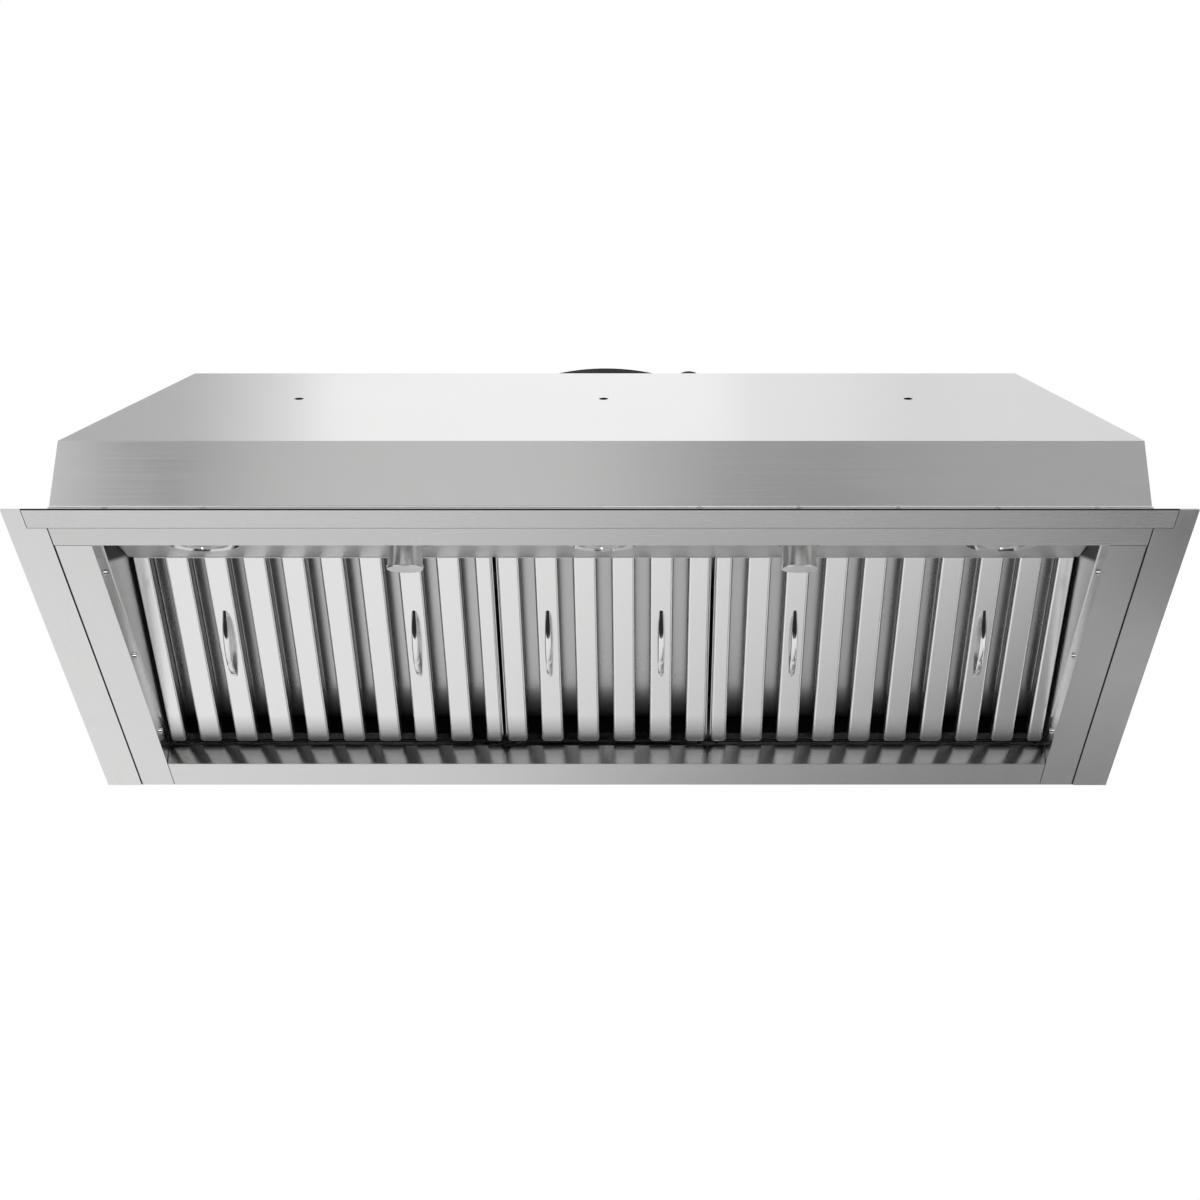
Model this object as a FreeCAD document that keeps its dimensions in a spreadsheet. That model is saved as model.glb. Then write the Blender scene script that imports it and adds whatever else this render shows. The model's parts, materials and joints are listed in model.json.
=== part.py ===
import FreeCAD, Part
import math
import os
import re
import Sketcher
from FreeCAD import Placement, Rotation, Vector

# Driving sizes, in millimetres and degrees
SIZES = {
    # casing of folded sheet, tapering to the top on the front and both sides
    "hood_depth": 606,
    "casing_width": 1091,
    "casing_sheet": 1.2,
    "casing_height": 321,
    "casing_lift": 1,
    "band_height": 102,
    "slope_setback": 193,
    "side_setback": 90.5,
    "slope_hole": 9.6,
    "slope_hole_pitch": 325,
    "slope_hole_share": 0.6,
    "hanger_hole": 9,
    "hanger_side_inset": 75,
    "hanger_end_inset": 39.5,
    # trim angles round three sides of the casing
    "trim_sheet": 1.5,
    "side_reach": 39,
    "front_reach": 34,
    "front_trim_overhang": 19,
    "side_trim_setback": 2.5,
    "trim_upstand": 23,
    "screw_end": 55.5,
    "screw_height": 18.5,
    "screw_head": 7,
    "screw_head_height": 2,
    "screw_shank": 3.5,
    "side_screw_end": 70,
    # base strips round the opening
    "side_strip": 38.5,
    "front_strip": 34.4,
    "rear_strip": 55.5,
    "strip_sheet": 1.2,
    "strip_rise": 16,
    "strip_joint": 0.8,
    "side_wall_height": 112,
    "front_wall_height": 28.5,
    "rear_wall_height": 24.8,
    "wall_screw_height": 14,
    "wall_screw_front": 75,
    "wall_screw_rear": 56.1,
    # lamp panel
    "panel_angle": 19.2,
    "panel_depth": 165,
    "panel_flange": 15,
    "panel_upstand": 26,
    "fitting_line": 95.5,
    "lamp_pitch": 414,
    "knob_offset": 204,
    # lamps
    "lamp_rim": 78,
    "lamp_rim_height": 3,
    "lamp_bore": 54,
    "lamp_skirt": 62,
    "lamp_skirt_depth": 10,
    "lens_thickness": 3,
    "lamp_can_depth": 22,
    # control knobs and switches
    "knob_diameter": 36,
    "knob_length": 28.4,
    "knob_rim": 38.4,
    "knob_rim_height": 4,
    "knob_chamfer": 0.8,
    "knob_gap": 0.6,
    "ring_diameter": 58,
    "ring_height": 1,
    "spindle_diameter": 6,
    "spindle_fit": 0.05,
    "bushing_diameter": 10,
    "switch_diameter": 32,
    "switch_depth": 24,
    # filters, hung at the rear on one rod
    "filter_front_gap": 3.2,
    "filter_front_rise": 6,
    "narrow_filter": 230,
    "filter_gap": 4,
    "filter_wall_gap": 3,
    "filter_height": 38,
    "filter_sheet": 0.8,
    "filter_lip": 12,
    "front_rail_height": 14,
    "nose_depth": 8,
    "rod_inset": 4.3,
    "rod_height": 28,
    "rod_diameter": 4,
    "rod_fit": 0.08,
    "rod_rise": 5.5,
    "rod_ahead": 3.4,
    "hook_width": 4,
    "hook_wall": 1.2,
    "bar_gap": 16,
    "bar_height": 14,
    "bar_bend": 3,
    "bar_corner": 5,
    "bar_sheet": 0.8,
    "wide_end_share": 0.72,
    "narrow_end_share": 0.93,
    "cover_lap": 6,
    "cover_height": 27,
    "cover_end_gap": 2,
    "handle_width": 7,
    "handle_length": 112,
    "handle_foot": 4,
    "handle_ahead": 16,
    "handle_bow": 18,
    "handle_sheet": 1.5,
    "catch_width": 14,
    "catch_sheet": 0.8,
    "catch_gap": 0.4,
    # duct collar and damper
    "collar_margin": 37,
    "duct_height": 33,
    "duct_sheet": 1,
    "duct_flange": 18,
    "damper_height": 8,
    "damper_sheet": 1,
    "damper_gap": 1.5,
    "damper_ledge": 5,
    "damper_rest": 0.4,
    "damper_pin": 5,
    "damper_fit": 0.08,
    "knuckle_wall": 1.5,
    "knuckle_length": 26,
    # blower
    "scroll_floor": 110,
    "scroll_ceiling_gap": 15,
    "scroll_inset": 143,
    "scroll_width": 230,
    "scroll_sheet": 1,
    "outlet_depth": 92,
    "outlet_flange": 12,
    "wheel_clearance": 14,
    "wheel_offset": 14,
    "wheel_ring": 9,
    "wheel_sheet": 1.2,
    "wheel_width": 200,
    "wheel_hub": 14,
    "blade_sheet": 0.8,
    "blade_inset": 0.5,
    "inlet_rim": 12,
    "inlet_depth": 10,
    "motor_radius": 42,
    "motor_length": 84,
    "motor_stand": 16,
    "motor_shaft": 10,
    "shaft_fit": 0.08,
    "bracket_width": 44,
    "bracket_sheet": 2,
    # electrical pieces under the top panel
    "box_length": 170,
    "box_depth": 62,
    "box_height": 44,
    "box_sheet": 1.2,
    "box_inset": 7,
    "box_start": 60,
    "driver_length": 130,
    "driver_depth": 44,
    "driver_height": 30,
    "gland_inset": 22,
    "gland_offset": 93,
    "gland_diameter": 24,
    "gland_height": 10,
    "gland_bore": 10,
}

# Sizes that follow from the driving ones
DERIVED = {
    "opening_width": "casing_width - 2*side_strip",
    "opening_depth": "hood_depth - front_reach - front_strip - rear_strip",
    "top_width": "casing_width - 2*side_setback",
    "top_depth": "hood_depth - front_reach - slope_setback",
    "duct_diameter": "top_depth - 2*collar_margin",
    "panel_rise": "panel_depth*tan(panel_angle)",
    "filter_run": "opening_depth - rod_inset + strip_sheet - panel_depth - filter_front_gap",
    "filter_climb": "front_wall_height + panel_rise + filter_front_rise - rod_height",
    "filter_angle": "atan(filter_climb/filter_run)",
    "filter_length": "filter_run/cos(filter_angle) - rod_ahead",
    "scroll_radius": "(casing_height - scroll_floor - scroll_ceiling_gap)/2",
    "wheel_radius": "scroll_radius - wheel_offset - wheel_clearance",
    "inlet_radius": "wheel_radius - inlet_rim",
}

BLADES = 28
TRIM_SCREWS = 11
SIDE_SCREWS = 5
WALL_SCREWS = 3
COLLAR_SCREWS = 8

doc = FreeCAD.newDocument("range_hood")
sheet = doc.addObject("Spreadsheet::Sheet", "sizes")
for row, (name, value) in enumerate(SIZES.items(), 1):
    sheet.set("A%d" % row, name)
    sheet.set("B%d" % row, str(value))
    sheet.setAlias("B%d" % row, name)
for row, (name, rule) in enumerate(DERIVED.items(), len(SIZES) + 1):
    sheet.set("A%d" % row, name)
    sheet.set("B%d" % row, "=" + rule)
    sheet.setAlias("B%d" % row, name)
doc.recompute()

NODES = []

# Shared positions, written as formulas of the sizes
FRONT = "(-hood_depth/2)"
REAR = "(hood_depth/2)"
BASE = "trim_sheet"
CASE_FRONT = "(front_reach - hood_depth/2)"
CASE_HALF = "(casing_width/2)"
BAND_TOP = "(trim_sheet + band_height)"
TOP = "(trim_sheet + casing_height)"
CEILING = "(trim_sheet + casing_height - casing_sheet)"
OPENING_HALF = "(opening_width/2)"
OPENING_FRONT = "(front_reach + front_strip - hood_depth/2)"
OPENING_REAR = "(hood_depth/2 - rear_strip)"
PANEL_FRONT = "(front_reach + front_strip - strip_sheet - hood_depth/2)"
PANEL_FOOT = "(trim_sheet + front_wall_height)"
PANEL_REAR = "(%s + panel_depth)" % PANEL_FRONT
PANEL_EDGE = "(trim_sheet + front_wall_height + panel_rise)"
ROD_Y = "(hood_depth/2 - rear_strip - rod_inset)"
ROD_Z = "(trim_sheet + rod_height)"
TOP_FRONT = "(front_reach + slope_setback - hood_depth/2)"
DUCT_Y = "(hood_depth/2 - top_depth/2)"
DAMPER_Z = "(trim_sheet + casing_height + damper_height)"
SCROLL_Y = "(%s + scroll_inset)" % TOP_FRONT
SCROLL_Z = "(trim_sheet + scroll_floor + scroll_radius)"
WHEEL_Y = "(%s - wheel_offset)" % SCROLL_Y
WIDE = "(opening_width/2 - narrow_filter/2 - filter_gap - filter_wall_gap)"
SIDE_X = "(narrow_filter/2 + filter_gap + %s/2)" % WIDE
GLAND_Y = "(%s + gland_inset)" % TOP_FRONT


# Helpers that bind shapes to the sizes
def formula(text):
    def cell(match):
        word = match.group(0)
        return "sizes." + word if word in SIZES or word in DERIVED else word

    return re.sub(r"[a-z][a-z_]+", cell, str(text))


def bind(obj, prop, text):
    obj.setExpression(prop, formula(text))


def place(obj, x="0", y="0", z="0", axis=None, angle="0"):
    if axis is not None:
        obj.Placement = Placement(Vector(), Rotation(Vector(*axis), 10))
        bind(obj, "Placement.Rotation.Angle", angle)
    bind(obj, "Placement.Base.x", x)
    bind(obj, "Placement.Base.y", y)
    bind(obj, "Placement.Base.z", z)
    return obj


def box(x, y, z, length, width, height):
    block = doc.addObject("Part::Box", "block")
    bind(block, "Length", length)
    bind(block, "Width", width)
    bind(block, "Height", height)
    return place(block, x, y, z)


def rod(radius, length, x="0", y="0", z="0", axis=None, angle="0"):
    pin = doc.addObject("Part::Cylinder", "rod")
    bind(pin, "Radius", radius)
    bind(pin, "Height", length)
    return place(pin, x, y, z, axis, angle)


def rod_along_x(radius, x, y, z, length):
    return rod(radius, length, x, y, z, (0, 1, 0), "90")


def cone(low_radius, high_radius, length, z="0"):
    taper = doc.addObject("Part::Cone", "taper")
    bind(taper, "Radius1", low_radius)
    bind(taper, "Radius2", high_radius)
    bind(taper, "Height", length)
    return place(taper, "0", "0", z)


def fuse(pieces):
    joined = doc.addObject("Part::MultiFuse", "joined")
    joined.Shapes = pieces
    return joined


def hold(piece):
    """Carry one piece, drawn about its own axis, so that it can be placed as a whole."""
    held = doc.addObject("Part::Compound", "held")
    held.Links = [piece]
    return held


def cut(base, tools):
    tool = tools[0] if len(tools) == 1 else fuse(tools)
    left = doc.addObject("Part::Cut", "trimmed")
    left.Base = base
    left.Tool = tool
    return left


def common(first, second):
    shared = doc.addObject("Part::Common", "shared")
    shared.Base = first
    shared.Tool = second
    return shared


def node(label, obj):
    obj.Label = label
    NODES.append(obj)
    return obj


def origin_feature(body, role):
    return [item for item in body.Origin.OriginFeatures if item.Role == role][0]


def outline(body, plane, points, offset="0"):
    """Sketch a closed outline whose every corner is set by two formulas."""
    sketch = body.newObject("Sketcher::SketchObject", "outline")
    sketch.AttachmentSupport = [(origin_feature(body, plane), "")]
    sketch.MapMode = "FlatFace"
    bind(sketch, "AttachmentOffset.Base.z", offset)
    count = len(points)
    corners = []
    for index in range(count):
        turn = 2 * math.pi * index / count
        corners.append(Vector(10 * math.cos(turn), 10 * math.sin(turn), 0))
    for index in range(count):
        line = Part.LineSegment(corners[index], corners[(index + 1) % count])
        sketch.addGeometry(line, False)
    for index in range(count):
        join = Sketcher.Constraint("Coincident", index, 2, (index + 1) % count, 1)
        sketch.addConstraint(join)
    for index, (across, up) in enumerate(points):
        start = corners[index]
        for kind, now, text in (("DistanceX", start.x, across), ("DistanceY", start.y, up)):
            number = sketch.addConstraint(Sketcher.Constraint(kind, -1, 1, index, 1, now))
            bind(sketch, "Constraints[%d]" % number, text)
    return sketch


def pad(body, sketch, length, backward=False):
    block = body.newObject("PartDesign::Pad", "pad")
    block.Profile = sketch
    block.Reversed = backward
    bind(block, "Length", length)
    return block


def profile_along_x(points, start, length):
    body = doc.addObject("PartDesign::Body", "fold")
    pad(body, outline(body, "YZ_Plane", points, start), length)
    return body


def profile_along_y(points, start, length):
    body = doc.addObject("PartDesign::Body", "fold")
    pad(body, outline(body, "XZ_Plane", points, "-(%s)" % start), length, True)
    return body


# Casing
def outlet_passage():
    """Room inside the blower outlet, cut through the top panel above it."""
    front = "%s + scroll_radius - outlet_depth + scroll_sheet" % SCROLL_Y
    return box(
        "-scroll_width/2 + scroll_sheet", front, SCROLL_Z,
        "scroll_width - 2*scroll_sheet", "outlet_depth - 2*scroll_sheet", "casing_height",
    )


def casing_form(front, rear, left, right):
    """Band and tapered top as one solid, drawn in from each side by the given amounts."""
    x_low = "(-%s + %s)" % (CASE_HALF, left)
    x_high = "(%s - %s)" % (CASE_HALF, right)
    y_low = "(%s + %s)" % (CASE_FRONT, front)
    y_high = "(%s - %s)" % (REAR, rear)
    low = "(%s + casing_lift)" % BASE
    band = box(
        x_low, y_low, low,
        "%s - %s" % (x_high, x_low),
        "%s - %s" % (y_high, y_low),
        "%s - %s" % (BAND_TOP, low),
    )
    taper = doc.addObject("Part::Wedge", "taper")
    bind(taper, "Xmin", x_low)
    bind(taper, "Xmax", x_high)
    bind(taper, "X2min", "-top_width/2 + %s" % left)
    bind(taper, "X2max", "top_width/2 - %s" % right)
    bind(taper, "Ymin", BAND_TOP)
    bind(taper, "Ymax", TOP)
    bind(taper, "Zmin", "-" + y_high)
    bind(taper, "Zmax", "-" + y_low)
    bind(taper, "Z2min", "-" + y_high)
    bind(taper, "Z2max", "-(%s + slope_setback)" % y_low)
    place(taper, axis=(1, 0, 0), angle="90")
    return fuse([band, taper])


def slope_holes():
    rise = "(casing_height - band_height)"
    holes = []
    for step in (-1, 0, 1):
        hole = rod(
            "slope_hole/2", "20",
            "%d*slope_hole_pitch" % step,
            "%s + slope_hole_share*slope_setback + 10*sin(atan(%s/slope_setback))" % (CASE_FRONT, rise),
            "%s + slope_hole_share*%s - 10*cos(atan(%s/slope_setback))" % (BAND_TOP, rise, rise),
            (1, 0, 0),
            "atan(%s/slope_setback)" % rise,
        )
        holes.append(hole)
    return holes


def casing():
    whole = ("0", "0", "0", "0")
    front_skin = cut(casing_form(*whole), [casing_form("casing_sheet", "-5", "-5", "-5")])
    node("front_panel", cut(front_skin, slope_holes()))
    behind = ("casing_sheet", "0", "0", "0")
    left_core = casing_form("-5", "-5", "casing_sheet", "-5")
    node("left_side_panel", cut(casing_form(*behind), [left_core]))
    right_core = casing_form("-5", "-5", "-5", "casing_sheet")
    node("right_side_panel", cut(casing_form(*behind), [right_core]))
    between = ("casing_sheet", "0", "casing_sheet", "casing_sheet")
    rear_core = casing_form("-5", "casing_sheet", "-5", "-5")
    node("rear_panel", cut(casing_form(*between), [rear_core]))
    inside = ("casing_sheet", "casing_sheet", "casing_sheet", "casing_sheet")
    slab = box("-casing_width", "-hood_depth", CEILING, "2*casing_width", "2*hood_depth", "casing_sheet")
    lid = common(casing_form(*inside), slab)
    holes = [outlet_passage()]
    holes.append(rod("gland_bore/2 + 1", "20", "gland_offset", GLAND_Y, TOP + " - 10"))
    for side in (-1, 1):
        for end in (-1, 1):
            x = "%d*(top_width/2 - hanger_side_inset)" % side
            y = "%s + %d*(top_depth/2 - hanger_end_inset)" % (DUCT_Y, end)
            holes.append(rod("hanger_hole/2", "20", x, y, TOP + " - 10"))
    node("top_panel", cut(lid, holes))


# Trim angles
def trims():
    long_leg = box(
        "-%s - front_trim_overhang" % CASE_HALF, FRONT, "0",
        "casing_width + 2*front_trim_overhang", "front_reach", "trim_sheet",
    )
    upright = box(
        "-" + CASE_HALF, CASE_FRONT + " - trim_sheet", "0",
        "casing_width", "trim_sheet", "%s + trim_upstand" % BASE,
    )
    node("front_trim", fuse([long_leg, upright]))
    for side, label in ((-1, "left_trim"), (1, "right_trim")):
        edge = CASE_HALF if side > 0 else "-%s - side_reach" % CASE_HALF
        leg = box(
            edge, FRONT + " + side_trim_setback", BASE,
            "side_reach", "hood_depth - side_trim_setback", "trim_sheet",
        )
        wall = CASE_HALF if side > 0 else "-%s - trim_sheet" % CASE_HALF
        up = box(wall, CASE_FRONT, BASE, "trim_sheet", "hood_depth - front_reach", "trim_upstand")
        node(label, fuse([leg, up]))


def screw(x, y, z, axis, angle):
    """Pan head with its shank, head standing off the seat plane along the turned axis."""
    head = rod("screw_head/2", "screw_head_height")
    shank = rod("screw_shank/2", "5", "0", "0", "-5")
    return place(fuse([head, shank]), x, y, z, axis, angle)


def trim_screws():
    row = []
    pitch = "((casing_width - 2*screw_end)/%d)" % (TRIM_SCREWS - 1)
    for index in range(TRIM_SCREWS):
        x = "%d*%s" % (index - TRIM_SCREWS // 2, pitch)
        y = CASE_FRONT + " - trim_sheet"
        row.append(screw(x, y, "%s + screw_height" % BASE, (1, 0, 0), "90"))
    side_pitch = "((hood_depth - front_reach - 2*side_screw_end)/%d)" % (SIDE_SCREWS - 1)
    for side in (-1, 1):
        for index in range(SIDE_SCREWS):
            x = "%d*(%s + trim_sheet)" % (side, CASE_HALF)
            y = "front_reach/2 + %d*%s" % (index - SIDE_SCREWS // 2, side_pitch)
            row.append(screw(x, y, "%s + screw_height" % BASE, (0, 1, 0), "%d" % (90 * side)))
    node("trim_screws", fuse(row))


# Base strips round the opening
def base_strips():
    half = "(%s - casing_sheet)" % CASE_HALF
    y_wall = "(%s + casing_sheet)" % CASE_FRONT
    front = [
        (y_wall, BASE),
        (OPENING_FRONT, BASE),
        (OPENING_FRONT, "%s + front_wall_height" % BASE),
        (OPENING_FRONT + " - strip_sheet", "%s + front_wall_height" % BASE),
        (OPENING_FRONT + " - strip_sheet", "%s + strip_sheet" % BASE),
        (y_wall + " + strip_sheet", "%s + strip_sheet" % BASE),
        (y_wall + " + strip_sheet", "%s + strip_rise" % BASE),
        (y_wall, "%s + strip_rise" % BASE),
    ]
    node("front_base_strip", profile_along_x(front, "-" + half, "2*" + half))
    for side, label in ((-1, "left_base_strip"), (1, "right_base_strip")):
        sign = "%d*" % side
        inner = "(%s + strip_sheet)" % OPENING_HALF
        outer = "(%s - strip_sheet)" % half
        section = [
            (sign + half, BASE),
            (sign + half, "%s + strip_rise" % BASE),
            (sign + outer, "%s + strip_rise" % BASE),
            (sign + outer, "%s + strip_sheet" % BASE),
            (sign + inner, "%s + strip_sheet" % BASE),
            (sign + inner, "%s + side_wall_height" % BASE),
            (sign + OPENING_HALF, "%s + side_wall_height" % BASE),
            (sign + OPENING_HALF, BASE),
        ]
        start = "(%s + strip_joint)" % OPENING_FRONT
        length = "%s - casing_sheet - %s" % (REAR, start)
        node(label, profile_along_y(section, start, length))
    y_back = "(%s - casing_sheet)" % REAR
    rear = [
        (OPENING_REAR, BASE),
        (y_back, BASE),
        (y_back, "%s + strip_rise" % BASE),
        (y_back + " - strip_sheet", "%s + strip_rise" % BASE),
        (y_back + " - strip_sheet", "%s + strip_sheet" % BASE),
        (OPENING_REAR + " + strip_sheet", "%s + strip_sheet" % BASE),
        (OPENING_REAR + " + strip_sheet", "%s + rear_wall_height" % BASE),
        (OPENING_REAR, "%s + rear_wall_height" % BASE),
    ]
    reach = "(%s - strip_joint)" % OPENING_HALF
    node("rear_base_strip", profile_along_x(rear, "-" + reach, "2*" + reach))


def wall_screws():
    row = []
    pitch = "((opening_depth - wall_screw_front - wall_screw_rear)/%d)" % (WALL_SCREWS - 1)
    for side in (-1, 1):
        for index in range(WALL_SCREWS):
            y = "%s + wall_screw_front + %d*%s" % (OPENING_FRONT, index, pitch)
            z = "%s + wall_screw_height" % BASE
            row.append(screw("%d*%s" % (side, OPENING_HALF), y, z, (0, 1, 0), "%d" % (-90 * side)))
    node("wall_screws", fuse(row))


# Lamp panel with its lamps, knobs and switches
def on_panel(obj, x, along="fitting_line"):
    """Stand a fitting, drawn upright about its own axis, square to the lamp panel underside."""
    y = "%s + %s*cos(panel_angle)" % (PANEL_FRONT, along)
    z = "%s + %s*sin(panel_angle)" % (PANEL_FOOT, along)
    return place(obj, x, y, z, (1, 0, 0), "panel_angle")


def lamp_places():
    return (("left", "-lamp_pitch"), ("centre", "0"), ("right", "lamp_pitch"))


def knob_places():
    return (("fan", "-knob_offset"), ("light", "knob_offset"))


def lamp_panel():
    def under(y):
        return "%s + (%s - %s)*tan(panel_angle)" % (PANEL_FOOT, y, PANEL_FRONT)

    depth = "strip_sheet/cos(panel_angle)"
    inner_front = "(%s - strip_sheet)" % PANEL_FRONT
    inner_rear = "(%s - strip_sheet)" % PANEL_REAR
    section = [
        (PANEL_FRONT, PANEL_FOOT + " - panel_flange"),
        (PANEL_FRONT, PANEL_FOOT),
        (PANEL_REAR, under(PANEL_REAR)),
        (PANEL_REAR, under(PANEL_REAR) + " + panel_upstand"),
        (inner_rear, under(PANEL_REAR) + " + panel_upstand"),
        (inner_rear, under(inner_rear) + " + " + depth),
        (inner_front, under(inner_front) + " + " + depth),
        (inner_front, PANEL_FOOT + " - panel_flange"),
    ]
    reach = "(%s - strip_joint)" % OPENING_HALF
    plate = profile_along_x(section, "-" + reach, "2*" + reach)
    holes = []
    for _, x in lamp_places():
        holes.append(on_panel(rod("lamp_skirt/2", "12", "0", "0", "0"), x))
    for _, x in knob_places():
        holes.append(on_panel(rod("bushing_diameter/2", "12", "0", "0", "0"), x))
    node("lamp_panel", cut(plate, holes))


def lamps():
    for name, x in lamp_places():
        rim = cone("lamp_rim/2 - lamp_rim_height/2", "lamp_rim/2", "lamp_rim_height", "-lamp_rim_height")
        skirt = rod("lamp_skirt/2", "lamp_skirt_depth")
        bore = rod("lamp_bore/2", "4*lamp_skirt_depth", "0", "0", "-2*lamp_skirt_depth")
        node(name + "_lamp_bezel", on_panel(cut(fuse([rim, skirt]), [bore]), x))
        lens = rod("lamp_bore/2", "lens_thickness", "0", "0", "1 - lamp_rim_height")
        node(name + "_lamp_lens", on_panel(hold(lens), x))
        can = rod("lamp_skirt/2", "lamp_can_depth", "0", "0", "lamp_skirt_depth")
        hollow = rod("lamp_bore/2", "lamp_can_depth - 2", "0", "0", "lamp_skirt_depth - 1")
        node(name + "_lamp_module", on_panel(cut(can, [hollow]), x))


def controls():
    rings = []
    for name, x in knob_places():
        ring = rod("ring_diameter/2", "ring_height", "0", "0", "-ring_height")
        eye = rod("bushing_diameter/2", "3*ring_height", "0", "0", "-2*ring_height")
        rings.append(on_panel(cut(ring, [eye]), x))
        low = "(-ring_height - knob_gap - knob_length)"
        grip = rod("knob_diameter/2", "knob_length - knob_chamfer", "0", "0", low + " + knob_chamfer")
        edge = cone("knob_rim/2 - knob_chamfer", "knob_rim/2", "knob_chamfer", low)
        band = rod("knob_rim/2", "knob_rim_height - knob_chamfer", "0", "0", low + " + knob_chamfer")
        socket = rod("spindle_diameter/2", "2*knob_length", "0", "0", low + " + knob_length/3")
        node(name + "_knob", on_panel(cut(fuse([grip, edge, band]), [socket]), x))
        pin = rod("spindle_diameter/2", "2*knob_length/3 + 12", "0", "0", low + " + knob_length/3")
        node(name + "_spindle", on_panel(hold(pin), x))
        neck = rod("bushing_diameter/2", "ring_height + 6", "0", "0", "-ring_height")
        back = rod("switch_diameter/2", "switch_depth", "0", "0", "strip_sheet")
        well = rod("spindle_diameter/2 + spindle_fit", "24", "0", "0", "-2*ring_height")
        node(name + "_switch", on_panel(cut(fuse([neck, back]), [well]), x))
    node("knob_rings", fuse(rings))


# Filters: framed baffles hung on a rod at the rear
def rounding(body, base, edges, radius):
    bend = body.newObject("PartDesign::Fillet", "bend")
    bend.Base = (base, edges)
    bind(bend, "Radius", radius)
    doc.recompute()
    return bend


def tray(low_x, high_x, low_y, high_y, low_z, height, opens_up, closed_end, count, pitch):
    """Folded channel with rounded bends, repeated across the filter."""
    body = doc.addObject("PartDesign::Body", "channel")
    corners = [(low_x, low_y), (high_x, low_y), (high_x, high_y), (low_x, high_y)]
    block = pad(body, outline(body, "XY_Plane", corners, low_z), height)
    doc.recompute()
    limits = block.Shape.BoundBox
    floor = limits.ZMin if opens_up else limits.ZMax
    mouth = limits.ZMax if opens_up else limits.ZMin
    if closed_end:
        upright = []
        for number, edge in enumerate(block.Shape.Edges, 1):
            at_rear = abs(edge.CenterOfMass.y - limits.YMax) < 0.01
            if at_rear and edge.BoundBox.XLength < 0.01:
                upright.append("Edge%d" % number)
        block = rounding(body, block, upright, "bar_corner")
    bends = []
    for number, edge in enumerate(block.Shape.Edges, 1):
        middle = edge.CenterOfMass
        on_floor = abs(middle.z - floor) < 0.01
        at_front = abs(middle.y - limits.YMin) < 0.01
        at_rear = abs(middle.y - limits.YMax) < 0.01
        if on_floor and not at_front and (closed_end or not at_rear):
            bends.append("Edge%d" % number)
    rounded = rounding(body, block, bends, "bar_bend")
    ends = []
    for number, face in enumerate(rounded.Shape.Faces, 1):
        middle = face.CenterOfMass
        at_front = abs(middle.y - limits.YMin) < 0.01
        at_rear = abs(middle.y - limits.YMax) < 0.01
        if abs(middle.z - mouth) < 0.01 or at_front or (at_rear and not closed_end):
            ends.append("Face%d" % number)
    shell = body.newObject("PartDesign::Thickness", "sheet")
    shell.Base = (rounded, ends)
    shell.Reversed = True
    bind(shell, "Value", "bar_sheet")
    doc.recompute()
    if count == 1:
        return body
    row = body.newObject("PartDesign::LinearPattern", "row")
    row.TransformMode = "Whole shape"
    row.Direction = (origin_feature(body, "X_Axis"), [""])
    row.Mode = "Spacing"
    bind(row, "Offset", pitch)
    row.Occurrences = count
    body.Tip = row
    return body


def on_rod(obj, x):
    """Hang a filter piece, drawn flat about the rod axis, at the filter's slope."""
    return place(obj, x, ROD_Y, ROD_Z, (1, 0, 0), "-filter_angle")


def handle(x):
    """Bowed strip on two rounded feet, under one bar."""
    under = "-rod_rise"
    middle = "(-rod_ahead - filter_length/2 - handle_ahead)"
    span = "(handle_length/2 - handle_foot)"
    radius = "((%s*%s + handle_bow*handle_bow)/(2*handle_bow))" % (span, span)
    side = "%s - handle_width/2" % x
    hub = "%s - handle_bow + %s" % (under, radius)
    arch = rod_along_x(radius, side, middle, hub, "handle_width")
    inner = rod_along_x(radius + " - handle_sheet", side, middle, hub, "handle_width")
    below = box(
        side, middle + " - handle_length", "%s - 2*handle_bow" % under,
        "handle_width", "2*handle_length", "2*handle_bow",
    )
    pieces = [common(cut(arch, [inner]), below)]
    for end in (-1, 1):
        foot_y = "%s + %d*(%s + handle_foot/4) - handle_foot/2" % (middle, end, span)
        foot = box(side, foot_y, "%s - handle_sheet" % under, "handle_width", "handle_foot", "handle_sheet")
        tip_y = "%s + %d*(%s + 3*handle_foot/4)" % (middle, end, span)
        tip = rod("handle_width/2", "handle_sheet", x, tip_y, "%s - handle_sheet" % under)
        pieces.append(foot)
        pieces.append(tip)
    return fuse(pieces)


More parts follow.
